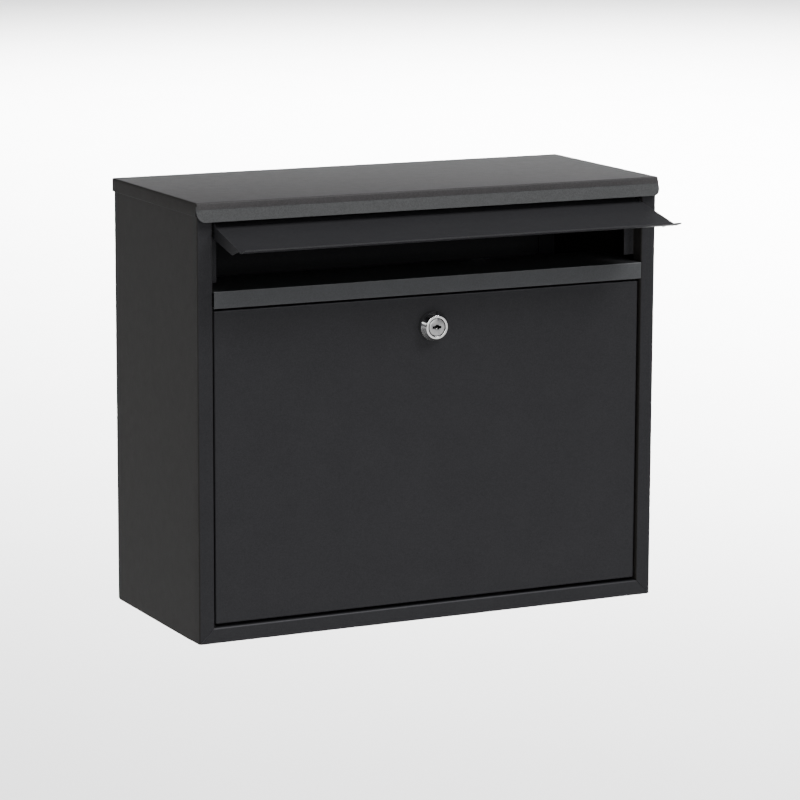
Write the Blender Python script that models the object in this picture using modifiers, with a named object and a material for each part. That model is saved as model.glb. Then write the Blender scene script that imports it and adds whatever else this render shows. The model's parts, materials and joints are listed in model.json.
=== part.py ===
"""Wall mounted mailbox in folded sheet steel, with a letter flap, a drop-down door and a cam lock.

Metres, +Z up. The wall is the plane Y = 0 and the front faces -Y. The origin is the centre of the
back panel's rear face. Heights named H_... are measured up from the bottom of the box.
"""

import math

import bmesh
import bpy
from mathutils import Matrix, Vector

MM = 0.001
MERGE_DISTANCE = 0.01 * MM

# Driving dimensions of the box
WIDTH = 378 * MM
HEIGHT = 325.5 * MM
DEPTH = 161 * MM
SHEET = 1.0 * MM
GAP = 0.3 * MM
FOLD_RADIUS = 1.4 * MM
FOLD_SEGMENTS = 2
FOLD_ANGLE = math.radians(20)

HALF = WIDTH / 2
FRONT_Y = -DEPTH
BOTTOM_Z = -HEIGHT / 2

# Cutters: how far they reach past what they cut, how far they stay off a face that isn't cut,
# their length through one sheet, and their sides
BEYOND = 3 * MM
STAND_OFF = 0.2 * MM
THROUGH = 4 * MM
MITRE_REACH = 40 * MM
PIN_SIDES = 24
RIVET_SIDES = 12
HOLE_SIDES = 16
HEAD_STEPS = 40
LOCK_SIDES = 32

# Front frame: stiles, bottom rail and the stop flange behind them; the floor's side flanges
# start a little further back
STILE_WIDTH = 12 * MM
RETURN_DEPTH = 12.7 * MM
STOP_WIDTH = 8 * MM
OPENING_HALF = HALF - STILE_WIDTH
STOP_Y = FRONT_Y + RETURN_DEPTH
H_RAIL = 11.9 * MM
FLOOR_FLANGE_START_Y = STOP_Y + 4 * MM

# Crossbar and shelf under the letter slot
H_SILL_BOTTOM = 248 * MM
H_SILL_TOP = 260.5 * MM
SILL_HALF = OPENING_HALF - 0.6 * MM
SILL_Y = FRONT_Y - 1.0 * MM
SHELF_DEPTH = 68 * MM
SHELF_LIP = 8 * MM
SILL_STOP = 8 * MM

# The stop flanges are cut away for the door pivots, for the sill and for the flap pivots
H_STOP_START = 34 * MM
H_SILL_NOTCH_LOW = H_SILL_BOTTOM - SILL_STOP - 2 * MM
H_SILL_NOTCH_HIGH = 265 * MM
H_STOP_END = 303 * MM

# Roof
ROOF_HALF = HALF + GAP + SHEET
ROOF_FRONT_Y = FRONT_Y - GAP - SHEET
H_ROOF = HEIGHT
H_ROOF_FOLD = 320.3 * MM
H_ROOF_SIDE = 315.5 * MM
LIP_FLARE = 4.2 * MM
LIP_EASE = 0.8 * MM
H_LIP = 312 * MM
LIP_CORNER = 4 * MM
LIP_CORNER_STEPS = 4
ROOF_FOLD_RADIUS = 1.0 * MM
CORNER_RELIEF = 1.2 * MM
H_UNDER_ROOF = HEIGHT - SHEET - GAP

# Back panel and the flanges in front of it
BACK_HALF = HALF - 0.5 * MM
BACK_FLANGE = 12 * MM
REAR_FLANGE = 15 * MM
REAR_FLANGE_Y = -SHEET - GAP
H_FLOOR_FLANGE = 15 * MM
WALL_HOLE_RADIUS = 3.25 * MM
WALL_HOLE_X = 120 * MM
WALL_HOLE_Z = 110 * MM

# Letter flap, drawn open as it rests
FLAP_SLOPE = math.radians(13.2)
FLAP_LIP_RISE = math.radians(18.2)
FLAP_PIVOT_Y = FRONT_Y + 4 * MM
H_FLAP_PIVOT = 304.6 * MM
FLAP_RISE = 3.6 * MM
FLAP_REAR = -8 * MM
FLAP_BEND = 55.2 * MM
FLAP_LIP = 8.3 * MM
FLAP_REAR_HALF = 175.2 * MM
FLAP_BEND_HALF = 177.2 * MM
FLAP_SIDE_DEEP = 39.6 * MM
FLAP_SIDE_END = 51.5 * MM
FLAP_SIDE_DEPTH = 7.8 * MM
FLAP_SIDE_INSET = 0.05 * MM
EAR_RADIUS = 5.5 * MM
EAR_STEPS = 18

# Door
DOOR_RECESS = 2 * MM
DOOR_FRONT_Y = FRONT_Y + DOOR_RECESS
DOOR_HALF = 175.5 * MM
DOOR_DEPTH = 10 * MM
DOOR_FOLD_RADIUS = 1.2 * MM
H_DOOR_BOTTOM = 14 * MM
H_DOOR_TOP = 246 * MM
DOOR_PIVOT_Y = FRONT_Y + 6 * MM
H_DOOR_PIVOT = 19.5 * MM

# Pivot pins
PIN_RADIUS = 1.6 * MM
PIN_HOLE = PIN_RADIUS + GAP
PIN_HEAD = 2.3 * MM
PIN_TAIL = 2.9 * MM
PIN_HEAD_LENGTH = 1.2 * MM
PIN_TAIL_LENGTH = 1.0 * MM
PIN_CHAMFER = 0.4 * MM
WASHER_RADIUS = 3 * MM

# Cam lock: its lengths are measured forward from the door's front face
H_LOCK = 223.5 * MM
LOCK_HOLE = 8.4 * MM
BARREL_RADIUS = 8.0 * MM
BARREL_REAR = -11.6 * MM
HEAD_RADIUS = 8.9 * MM
FLANGE_RADIUS = 11.25 * MM
HEAD_LENGTH = 9.0 * MM
HEAD_CHAMFER = 0.5 * MM
HEAD_BAND = 2.0 * MM
HEAD_FOOT = 1.6 * MM
PLUG_FACE_RADIUS = 6.65 * MM
PLUG_RADIUS = 5.0 * MM
PLUG_STEP = 4.0 * MM
PLUG_CHAMFER = 0.3 * MM
PLUG_SET_BACK = 0.2 * MM
KEY_PIN_RADIUS = 1.4 * MM
CAM_SCREW_BORE = 1.9 * MM
TAIL_SIDE = 7.0 * MM
NUT_ACROSS_FLATS = 22 * MM
NUT_THICKNESS = 4 * MM
LOCK_WASHER_RADIUS = 10.5 * MM
LOCK_WASHER_THICKNESS = 0.8 * MM
CAM_THICKNESS = 2.0 * MM
CAM_HUB_RADIUS = 8 * MM
CAM_TIP_RADIUS = 5 * MM
CAM_REACH = 17 * MM
KEYWAY = (7 * MM, 1.8 * MM, 4 * MM)
CAM_STEPS = 10
CAM_SCREW_RADIUS = 1.6 * MM
CAM_SCREW_LENGTH = 6 * MM
CAM_SCREW_HEAD = 5.4 * MM
CAM_SCREW_EDGE = 1.2 * MM
CAM_SCREW_CROWN = 2.2 * MM
CAM_SCREW_TOP = 4.0 * MM
CAM_SCREW_SPARE = 1.0 * MM
CROSS_SLOT = (2.4 * MM, 0.5 * MM, 1.1 * MM)

# Rivets through the back panel
RIVET_RADIUS = 1.6 * MM
RIVET_HEAD = 3.2 * MM
RIVET_HEAD_HEIGHT = 0.9 * MM
RIVET_CROWN = ((1.76 * MM, 0.12 * MM), (2.88 * MM, 0.5 * MM))
RIVET_SET_BACK = 0.05 * MM
RIVET_HOLE = RIVET_RADIUS + GAP
SIDE_RIVET_HEIGHTS = (45 * MM, 162 * MM, 280 * MM)
FLOOR_RIVET_X = (-110 * MM, 0.0, 110 * MM)
H_FLOOR_RIVET = 9 * MM

OBJECT_NAME = "wall_mailbox"

# Finishes: colour, roughness and metallic
COAT = ((0.032, 0.032, 0.034, 1.0), 0.42, 0.0)
CHROME = ((0.62, 0.62, 0.63, 1.0), 0.12, 1.0)
SATIN_CHROME = ((0.62, 0.62, 0.63, 1.0), 0.18, 1.0)
ZINC = ((0.42, 0.43, 0.44, 1.0), 0.35, 1.0)
NYLON = ((0.045, 0.045, 0.045, 1.0), 0.6, 0.0)


def height(h):
    """World Z of a height measured from the bottom of the box."""
    return BOTTOM_Z + h


# ---------------------------------------------------------------- scene helpers


def clear_scene():
    for obj in list(bpy.data.objects):
        bpy.data.objects.remove(obj, do_unlink=True)
    for collection in list(bpy.data.collections):
        bpy.data.collections.remove(collection)


def make_collection(name):
    collection = bpy.data.collections.new(name)
    bpy.context.scene.collection.children.link(collection)
    return collection


def make_material(name, colour, roughness, metallic):
    material = bpy.data.materials.new(name)
    material.use_nodes = True
    shader = material.node_tree.nodes["Principled BSDF"]
    shader.inputs["Base Color"].default_value = colour
    shader.inputs["Roughness"].default_value = roughness
    shader.inputs["Metallic"].default_value = metallic
    return material


def add_part(name, mesh_source, finish):
    """Link a bmesh or a mesh as a named sub-part with a material of its own."""
    mesh = mesh_source
    if isinstance(mesh_source, bmesh.types.BMesh):
        mesh = bpy.data.meshes.new(name)
        mesh_source.to_mesh(mesh)
        mesh_source.free()
    obj = bpy.data.objects.new(name, mesh)
    PARTS.objects.link(obj)
    colour, roughness, metallic = finish
    mesh.materials.append(make_material(name, colour, roughness, metallic))
    return obj


def add_cutter(name, bm):
    mesh = bpy.data.meshes.new(name)
    bmesh.ops.recalc_face_normals(bm, faces=bm.faces)
    bm.to_mesh(mesh)
    bm.free()
    obj = bpy.data.objects.new(name, mesh)
    CUTTERS.objects.link(obj)
    obj.hide_render = True
    obj.display_type = "WIRE"
    return obj


def combine(obj, other, operation):
    modifier = obj.modifiers.new(operation.title(), "BOOLEAN")
    modifier.object = other
    modifier.operation = operation
    modifier.solver = "EXACT"


def cut(obj, cutter):
    combine(obj, cutter, "DIFFERENCE")


# ---------------------------------------------------------------- shape helpers


def box_cutter(name, low, high):
    """A box between two corners."""
    size = Vector(high) - Vector(low)
    bm = bmesh.new()
    bmesh.ops.create_cube(bm, size=1.0)
    bmesh.ops.translate(bm, verts=bm.verts, vec=(0.5, 0.5, 0.5))
    bmesh.ops.scale(bm, verts=bm.verts, vec=size)
    bmesh.ops.translate(bm, verts=bm.verts, vec=low)
    return add_cutter(name, bm)


def rod(centre, axis, radius, length, segments):
    """A bmesh cylinder centred on a point, along the world axis X or Y."""
    bm = bmesh.new()
    bmesh.ops.create_cone(
        bm, cap_ends=True, segments=segments, radius1=radius, radius2=radius, depth=length
    )
    turn = Matrix.Rotation(math.radians(90), 4, "Y" if axis == "X" else "X")
    bmesh.ops.transform(bm, verts=bm.verts, matrix=Matrix.Translation(centre) @ turn)
    return bm


def rod_cutter(name, centre, axis, radius, segments, length=THROUGH):
    return add_cutter(name, rod(centre, axis, radius, length, segments))


def extrude_profile(points, start, vector):
    """An open strip: a chain of points in a plane, pulled along a vector."""
    bm = bmesh.new()
    verts = [bm.verts.new(Vector(start) + Vector(point)) for point in points]
    edges = [bm.edges.new(pair) for pair in zip(verts, verts[1:])]
    pulled = bmesh.ops.extrude_edge_only(bm, edges=edges)["geom"]
    new_verts = [item for item in pulled if isinstance(item, bmesh.types.BMVert)]
    bmesh.ops.translate(bm, verts=new_verts, vec=vector)
    return bm


def pull_edges(bm, test, vector):
    """Extrude the open edges whose two ends pass the test, and move the new ones."""
    edges = [e for e in bm.edges if e.is_boundary and all(test(v.co) for v in e.verts)]
    pulled = bmesh.ops.extrude_edge_only(bm, edges=edges)["geom"]
    new_verts = [item for item in pulled if isinstance(item, bmesh.types.BMVert)]
    bmesh.ops.translate(bm, verts=new_verts, vec=vector)
    bmesh.ops.remove_doubles(bm, verts=bm.verts, dist=MERGE_DISTANCE)


def split_edges(bm, axis, value, test):
    """Cut the open edges whose ends pass the test and lie on both sides of a value along an axis."""
    for edge in [e for e in bm.edges if e.is_boundary and all(test(v.co) for v in e.verts)]:
        first, second = edge.verts
        start = getattr(first.co, axis)
        end = getattr(second.co, axis)
        if min(start, end) < value < max(start, end):
            bmesh.utils.edge_split(edge, first, (value - start) / (end - start))


def face_outward(bm, point, outward):
    """Make the strip's faces agree, with the face nearest a point facing the given way."""
    bmesh.ops.recalc_face_normals(bm, faces=bm.faces)
    bm.normal_update()
    nearest = min(bm.faces, key=lambda f: (f.calc_center_median() - Vector(point)).length)
    if nearest.normal.dot(Vector(outward)) < 0:
        bmesh.ops.reverse_faces(bm, faces=bm.faces)


def make_sheet(obj, radius=FOLD_RADIUS):
    """Round the folds of an open surface and give it the sheet's thickness on its inner side."""
    bevel = obj.modifiers.new("Folds", "BEVEL")
    bevel.width = radius
    bevel.segments = FOLD_SEGMENTS
    bevel.limit_method = "ANGLE"
    bevel.angle_limit = FOLD_ANGLE
    solidify = obj.modifiers.new("Sheet", "SOLIDIFY")
    solidify.thickness = SHEET
    solidify.offset = -1
    solidify.use_even_offset = True


def turned(name, profile, location, turn, finish, steps, closed=True):
    """A turned part, smooth shaded: a profile of (radius, height) points, spun about its local Z."""
    bm = bmesh.new()
    verts = [bm.verts.new((r, 0, z)) for r, z in profile]
    for pair in zip(verts, verts[1:]):
        bm.edges.new(pair)
    if closed:
        bm.edges.new((verts[-1], verts[0]))
    obj = add_part(name, bm, finish)
    obj.location = location
    obj.rotation_euler = turn
    screw = obj.modifiers.new("Turn", "SCREW")
    screw.axis = "Z"
    screw.angle = math.tau
    screw.steps = steps
    screw.render_steps = steps
    screw.use_smooth_shade = True
    screw.use_merge_vertices = True
    screw.merge_threshold = MERGE_DISTANCE
    return obj


# ---------------------------------------------------------------- box


def make_side_panel(name, side):
    """Side wall, stile, return and stop flange in one folded sheet; side is -1 for the left."""
    profile = [
        (side * (OPENING_HALF - STOP_WIDTH), STOP_Y, 0),
        (side * OPENING_HALF, STOP_Y, 0),
        (side * OPENING_HALF, FRONT_Y, 0),
        (side * HALF, FRONT_Y, 0),
        (side * HALF, REAR_FLANGE_Y, 0),
        (side * (HALF - REAR_FLANGE), REAR_FLANGE_Y, 0),
    ]
    bm = extrude_profile(profile, (0, 0, BOTTOM_Z), (0, 0, H_UNDER_ROOF))
    face_outward(bm, (side * HALF, FRONT_Y / 2, 0), (side, 0, 0))
    obj = add_part(name, bm, COAT)
    make_sheet(obj)

    cut(obj, mitre_cutter(name + "_mitre", side, -1))
    inner = OPENING_HALF - STOP_WIDTH - BEYOND
    outer = OPENING_HALF + SHEET + GAP
    stop_cuts = (
        ("hinge", -BEYOND, H_STOP_START),
        ("sill", H_SILL_NOTCH_LOW, H_SILL_NOTCH_HIGH),
        ("flap", H_STOP_END, HEIGHT + BEYOND),
    )
    xs = sorted((side * inner, side * outer))
    for label, low, high in stop_cuts:
        near = (xs[0], STOP_Y - SHEET, height(low))
        far = (xs[1], STOP_Y + SHEET + BEYOND, height(high))
        cut(obj, box_cutter(f"{name}_{label}", near, far))

    xs = sorted((side * (HALF - REAR_FLANGE - BEYOND), side * (HALF + BEYOND)))
    near = (xs[0], REAR_FLANGE_Y - FOLD_RADIUS - GAP, BOTTOM_Z - BEYOND)
    far = (xs[1], BEYOND, height(H_FLOOR_FLANGE + FOLD_RADIUS))
    cut(obj, box_cutter(name + "_floor_clearance", near, far))
    pin_holes = (("flap", FLAP_PIVOT_Y, H_FLAP_PIVOT), ("door", DOOR_PIVOT_Y, H_DOOR_PIVOT))
    for label, y, h in pin_holes:
        centre = (side * (OPENING_HALF + SHEET / 2), y, height(h))
        cut(obj, rod_cutter(f"{name}_{label}_pin", centre, "X", PIN_HOLE, PIN_SIDES))
    for index, h in enumerate(SIDE_RIVET_HEIGHTS):
        centre = (side * side_rivet_x(), REAR_FLANGE_Y - SHEET / 2, height(h))
        cut(obj, rod_cutter(f"{name}_rivet_{index}", centre, "Y", RIVET_HOLE, RIVET_SIDES))
    return obj


def side_rivet_x():
    """Distance of the side rivets from the middle, halfway across the rear flange."""
    return HALF - REAR_FLANGE / 2


def mitre_cutter(name, side, part):
    """A box with one face on the 45 degree mitre of a lower frame corner.

    part is -1 to take what lies below the mitre off a stile, 1 to take what lies above it off the rail.
    """
    clearance = GAP / 2 * math.sqrt(2)
    bm = bmesh.new()
    bmesh.ops.create_cube(bm, size=1.0)
    bmesh.ops.scale(bm, verts=bm.verts, vec=(MITRE_REACH, RETURN_DEPTH + 2 * BEYOND, MITRE_REACH))
    bmesh.ops.translate(bm, verts=bm.verts, vec=(0, 0, part * MITRE_REACH / 2))
    turn = Matrix.Rotation(math.radians(45 * side), 4, "Y")
    bmesh.ops.rotate(bm, verts=bm.verts, matrix=turn)
    corner = Vector((side * HALF, FRONT_Y + RETURN_DEPTH / 2, BOTTOM_Z - part * clearance))
    bmesh.ops.translate(bm, verts=bm.verts, vec=corner)
    return add_cutter(name, bm)


def make_bottom_panel():
    """Floor with the front rail folded up, over and down behind, and flanges at the sides and rear."""
    half = HALF - SHEET - GAP
    profile = [
        (0, STOP_Y, height(H_RAIL - STOP_WIDTH)),
        (0, STOP_Y, height(H_RAIL)),
        (0, FRONT_Y, height(H_RAIL)),
        (0, FRONT_Y, BOTTOM_Z),
        (0, FLOOR_FLANGE_START_Y, BOTTOM_Z),
        (0, REAR_FLANGE_Y, BOTTOM_Z),
        (0, REAR_FLANGE_Y, height(H_FLOOR_FLANGE)),
    ]
    bm = extrude_profile(profile, (-half, 0, 0), (2 * half, 0, 0))
    for side in (-1, 1):
        pull_edges(
            bm,
            lambda co: co.x * side > half - MM
            and co.z < BOTTOM_Z + MM
            and co.y > FLOOR_FLANGE_START_Y - MM,
            (0, 0, H_FLOOR_FLANGE),
        )
    face_outward(bm, (0, FRONT_Y / 2, BOTTOM_Z), (0, 0, -1))
    obj = add_part("bottom_panel", bm, COAT)
    make_sheet(obj)
    skin = SHEET + STAND_OFF
    for side, label in ((-1, "left"), (1, "right")):
        cut(obj, mitre_cutter("rail_mitre_" + label, side, 1))
        xs = sorted((side * (OPENING_HALF - GAP), side * (HALF + BEYOND)))
        near = (xs[0], FRONT_Y + skin, height(skin))
        far = (xs[1], FLOOR_FLANGE_START_Y - 2 * SHEET, height(H_RAIL + BEYOND))
        cut(obj, box_cutter("rail_end_" + label, near, far))
    for index, x in enumerate(FLOOR_RIVET_X):
        centre = (x, REAR_FLANGE_Y - SHEET / 2, height(H_FLOOR_RIVET))
        cut(obj, rod_cutter(f"floor_rivet_hole_{index}", centre, "Y", RIVET_HOLE, RIVET_SIDES))
    return obj


def make_back_panel():
    """Flat back sheet with a flange folded forward under the roof, four wall holes and rivet holes."""
    profile = [
        (0, 0, height(GAP)),
        (0, 0, height(H_UNDER_ROOF)),
        (0, -BACK_FLANGE, height(H_UNDER_ROOF)),
    ]
    bm = extrude_profile(profile, (-BACK_HALF, 0, 0), (2 * BACK_HALF, 0, 0))
    face_outward(bm, (0, 0, 0), (0, 1, 0))
    obj = add_part("back_panel", bm, COAT)
    make_sheet(obj)
    for side in (-1, 1):
        for level in (-1, 1):
            centre = (side * WALL_HOLE_X, -SHEET / 2, level * WALL_HOLE_Z)
            cut(obj, rod_cutter(f"wall_hole_{side}_{level}", centre, "Y", WALL_HOLE_RADIUS, PIN_SIDES))
    for name, x, z in rivet_places():
        cut(obj, rod_cutter("hole_" + name, (x, -SHEET / 2, z), "Y", RIVET_HOLE, RIVET_SIDES))
    clear_side_flanges(obj)
    return obj


def clear_side_flanges(back_panel):
    """The flange under the roof stays between the side panels' rear flanges."""
    for side, label in ((-1, "left"), (1, "right")):
        xs = sorted((side * (HALF - REAR_FLANGE - 2 * SHEET), side * (HALF + BEYOND)))
        near = (xs[0], -BACK_FLANGE - BEYOND, height(H_UNDER_ROOF) - BEYOND)
        far = (xs[1], REAR_FLANGE_Y + STAND_OFF, height(HEIGHT))
        cut(back_panel, box_cutter("top_flange_end_" + label, near, far))


def make_roof():
    """Roof sheet with welded front corners, short side flanges and a flared drip lip in front."""
    fold_z = height(H_ROOF_FOLD)
    profile = [(0, 0, height(H_ROOF)), (0, ROOF_FRONT_Y, height(H_ROOF)), (0, ROOF_FRONT_Y, fold_z)]
    bm = extrude_profile(profile, (-ROOF_HALF, 0, 0), (2 * ROOF_HALF, 0, 0))
    for side in (-1, 1):
        pull_edges(
            bm,
            lambda co: co.x * side > ROOF_HALF - MM and co.z > height(H_ROOF) - MM,
            (0, 0, H_ROOF_FOLD - H_ROOF),
        )
    pull_side_flanges_down(bm, fold_z)
    pull_lip(bm, fold_z)
    face_outward(bm, (0, FRONT_Y / 2, height(H_ROOF)), (0, 0, 1))
    obj = add_part("roof_cap", bm, COAT)
    make_sheet(obj, ROOF_FOLD_RADIUS)
    return obj


def pull_side_flanges_down(bm, fold_z):
    """The side flanges reach further down than the front, from just behind the front corners."""
    start_y = ROOF_FRONT_Y + CORNER_RELIEF
    for side in (-1, 1):
        split_edges(bm, "y", start_y, lambda co: co.x * side > ROOF_HALF - MM and co.z < fold_z + MM)
        pull_edges(
            bm,
            lambda co: co.x * side > ROOF_HALF - MM and co.z < fold_z + MM and co.y > start_y - MM / 2,
            (0, 0, H_ROOF_SIDE - H_ROOF_FOLD),
        )


def pull_lip(bm, fold_z):
    """The lip bends out from the foot of the front in two steps, and its lower corners are round."""
    half = ROOF_HALF - CORNER_RELIEF
    front = ROOF_FRONT_Y + MM / 2
    for x in (-half, half):
        split_edges(bm, "x", x, lambda co: co.y < front and co.z < fold_z + MM)
    flare = math.atan2(LIP_FLARE, H_ROOF_FOLD - H_LIP)
    ease = Vector((0, -LIP_EASE * math.sin(flare / 2), -LIP_EASE * math.cos(flare / 2)))
    rest = Vector((0, -LIP_FLARE, H_LIP - H_ROOF_FOLD)) - ease
    level = fold_z
    for step in (ease, rest):
        pull_edges(
            bm,
            lambda co: co.y < front and abs(co.z - level) < MM / 10 and abs(co.x) < half + MM / 10,
            step,
        )
        level += step.z
    corners = [v for v in bm.verts if v.co.z < height(H_LIP) + MM / 10]
    bmesh.ops.bevel(bm, geom=corners, offset=LIP_CORNER, segments=LIP_CORNER_STEPS, affect="VERTICES")


def make_sill():
    """Crossbar, the stop flange above the door and the letter shelf, folded from one sheet."""
    shelf_rear = FRONT_Y + SHELF_DEPTH
    profile = [
        (0, STOP_Y, height(H_SILL_BOTTOM - SILL_STOP)),
        (0, STOP_Y, height(H_SILL_BOTTOM)),
        (0, SILL_Y, height(H_SILL_BOTTOM)),
        (0, SILL_Y, height(H_SILL_TOP)),
        (0, shelf_rear, height(H_SILL_TOP)),
        (0, shelf_rear, height(H_SILL_TOP - SHELF_LIP)),
    ]
    bm = extrude_profile(profile, (-SILL_HALF, 0, 0), (2 * SILL_HALF, 0, 0))
    face_outward(bm, (0, SILL_Y, height((H_SILL_BOTTOM + H_SILL_TOP) / 2)), (0, -1, 0))
    obj = add_part("slot_sill", bm, COAT)
    make_sheet(obj)
    return obj


# ---------------------------------------------------------------- letter flap


def flap_point(along, rise):
    """World Y and Z of a point on the open flap: along its plate from the pivot, and above the pivot."""
    y = FLAP_PIVOT_Y - along * math.cos(FLAP_SLOPE) - rise * math.sin(FLAP_SLOPE)
    z = height(H_FLAP_PIVOT) - along * math.sin(FLAP_SLOPE) + rise * math.cos(FLAP_SLOPE)
    return y, z


def flap_half(along):
    """Half width of the flap, which widens from its rear edge to its bend."""
    share = (along - FLAP_REAR) / (FLAP_BEND - FLAP_REAR)
    return FLAP_REAR_HALF + share * (FLAP_BEND_HALF - FLAP_REAR_HALF)


def flap_side_outline():
    """Outline of a flap's side flange as (along, rise) points, with the pivot ear as its round end."""
    top = FLAP_RISE - SHEET / 2
    deep = FLAP_RISE - FLAP_SIDE_DEPTH
    start = math.asin(top / EAR_RADIUS)
    edge_turn = math.radians(90) - math.atan2(EAR_RADIUS + deep, FLAP_SIDE_DEEP)
    end = math.tau - edge_turn
    points = [(FLAP_SIDE_END, top), (EAR_RADIUS * math.cos(start), top)]
    for step in range(1, EAR_STEPS + 1):
        angle = start + (end - start) * step / EAR_STEPS
        points.append((EAR_RADIUS * math.cos(angle), EAR_RADIUS * math.sin(angle)))
    points.append((FLAP_SIDE_DEEP, deep))
    return points


def flap_side(label, side):
    """A side flange of the flap as a closed plate, set just inside the edge of the flap's top."""
    bm = bmesh.new()
    verts = []
    for along, rise in flap_side_outline():
        y, z = flap_point(along, rise)
        verts.append(bm.verts.new((side * (flap_half(along) - FLAP_SIDE_INSET), y, z)))
    face = bm.faces.new(verts)
    inner = bmesh.ops.extrude_face_region(bm, geom=[face])["geom"]
    inner_verts = [item for item in inner if isinstance(item, bmesh.types.BMVert)]
    bmesh.ops.translate(bm, verts=inner_verts, vec=(-side * SHEET, 0, 0))
    return add_cutter("flap_side_" + label, bm)


def make_flap():
    """Flap plate with a finger lip, tapering side flanges and a pivot ear at each end."""
    bend_y, bend_z = flap_point(FLAP_BEND, FLAP_RISE)
    rear_y, rear_z = flap_point(FLAP_REAR, FLAP_RISE)
    tip_y = bend_y - FLAP_LIP * math.cos(FLAP_LIP_RISE)
    tip_z = bend_z + FLAP_LIP * math.sin(FLAP_LIP_RISE)
    rows = (
        (FLAP_REAR_HALF, rear_y, rear_z),
        (FLAP_BEND_HALF, bend_y, bend_z),
        (FLAP_BEND_HALF, tip_y, tip_z),
    )
    bm = bmesh.new()
    lines = [[bm.verts.new((side * half, y, z)) for side in (-1, 1)] for half, y, z in rows]
    for rear, front in zip(lines, lines[1:]):
        bm.faces.new((rear[0], rear[1], front[1], front[0]))
    face_outward(bm, (0, (rear_y + bend_y) / 2, rear_z), (0, 0, 1))
    obj = add_part("mail_flap", bm, COAT)
    make_sheet(obj)
    for side, label in ((-1, "left"), (1, "right")):
        combine(obj, flap_side(label, side), "UNION")
        centre = (side * (flap_half(0) - SHEET / 2), FLAP_PIVOT_Y, height(H_FLAP_PIVOT))
        cut(obj, rod_cutter("flap_bore_" + label, centre, "X", PIN_HOLE, PIN_SIDES))
    set_origin(obj, (0, FLAP_PIVOT_Y, height(H_FLAP_PIVOT)))
    return obj


def set_origin(obj, point):
    """Move an object's origin to a point without moving its mesh in the world."""
    shift = Matrix.Translation(-Vector(point))
    obj.data.transform(shift)
    obj.location = point


# ---------------------------------------------------------------- door


def make_door():
    """Pan door: a flat front with welded corners, holes for its pivots and for the lock."""
    size = (2 * DOOR_HALF, DOOR_DEPTH, H_DOOR_TOP - H_DOOR_BOTTOM)
    bm = bmesh.new()
    bmesh.ops.create_cube(bm, size=1.0)
    bmesh.ops.scale(bm, verts=bm.verts, vec=size)
    middle = (0, DOOR_FRONT_Y + DOOR_DEPTH / 2, height((H_DOOR_TOP + H_DOOR_BOTTOM) / 2))
    bmesh.ops.translate(bm, verts=bm.verts, vec=middle)
    rear = [f for f in bm.faces if f.normal.y > 0.5]
    bmesh.ops.delete(bm, geom=rear, context="FACES")
    face_outward(bm, (0, DOOR_FRONT_Y, 0), (0, -1, 0))
    obj = add_part("door_panel", bm, COAT)
    make_sheet(obj, DOOR_FOLD_RADIUS)
    for side, label in ((-1, "left"), (1, "right")):
        centre = (side * (DOOR_HALF - SHEET / 2), DOOR_PIVOT_Y, height(H_DOOR_PIVOT))
        cut(obj, rod_cutter("door_bore_" + label, centre, "X", PIN_HOLE, PIN_SIDES))
    centre = (0, DOOR_FRONT_Y + SHEET / 2, height(H_LOCK))
    cut(obj, rod_cutter("lock_hole", centre, "Y", LOCK_HOLE, LOCK_SIDES))
    set_origin(obj, (0, DOOR_PIVOT_Y, height(H_DOOR_PIVOT)))
    return obj


# ---------------------------------------------------------------- pivots


def make_pivot(kind, side, label, inner_face, washer_inner, y, h):
    """A headed pin through a moving panel, a nylon washer and the stile's return, and its washer.

    inner_face is the distance from the middle to the moving panel's inside face.
    """
    turn = (0, side * math.radians(90), 0)
    place = (0, y, height(h))
    head_end = inner_face - GAP
    head_top = head_end - PIN_HEAD_LENGTH
    tail_start = OPENING_HALF + SHEET + GAP
    tail_end = tail_start + PIN_TAIL_LENGTH
    profile = [
        (0, tail_end),
        (PIN_TAIL - PIN_CHAMFER, tail_end),
        (PIN_TAIL, tail_end - PIN_CHAMFER),
        (PIN_TAIL, tail_start),
        (PIN_RADIUS, tail_start),
        (PIN_RADIUS, head_end),
        (PIN_HEAD, head_end),
        (PIN_HEAD, head_top + PIN_CHAMFER),
        (PIN_HEAD - PIN_CHAMFER, head_top),
        (0, head_top),
    ]
    turned(f"{kind}_pin_{label}", profile, place, turn, ZINC, PIN_SIDES, closed=False)
    washer_outer = OPENING_HALF - GAP
    washer = [
        (WASHER_RADIUS, washer_outer),
        (WASHER_RADIUS, washer_inner),
        (PIN_HOLE, washer_inner),
        (PIN_HOLE, washer_outer),
    ]
    turned(f"{kind}_washer_{label}", washer, place, turn, NYLON, PIN_SIDES)


def make_pivots():
    for side, label in ((-1, "left"), (1, "right")):
        ear = flap_half(0)
        make_pivot("flap", side, label, ear - SHEET, ear + GAP, FLAP_PIVOT_Y, H_FLAP_PIVOT)
        wall = DOOR_HALF
        make_pivot("door", side, label, wall - SHEET, wall + GAP, DOOR_PIVOT_Y, H_DOOR_PIVOT)


# ---------------------------------------------------------------- cam lock


FORWARD = (math.radians(90), 0, 0)


def lock_centre():
    return (0, DOOR_FRONT_Y, height(H_LOCK))


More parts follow.
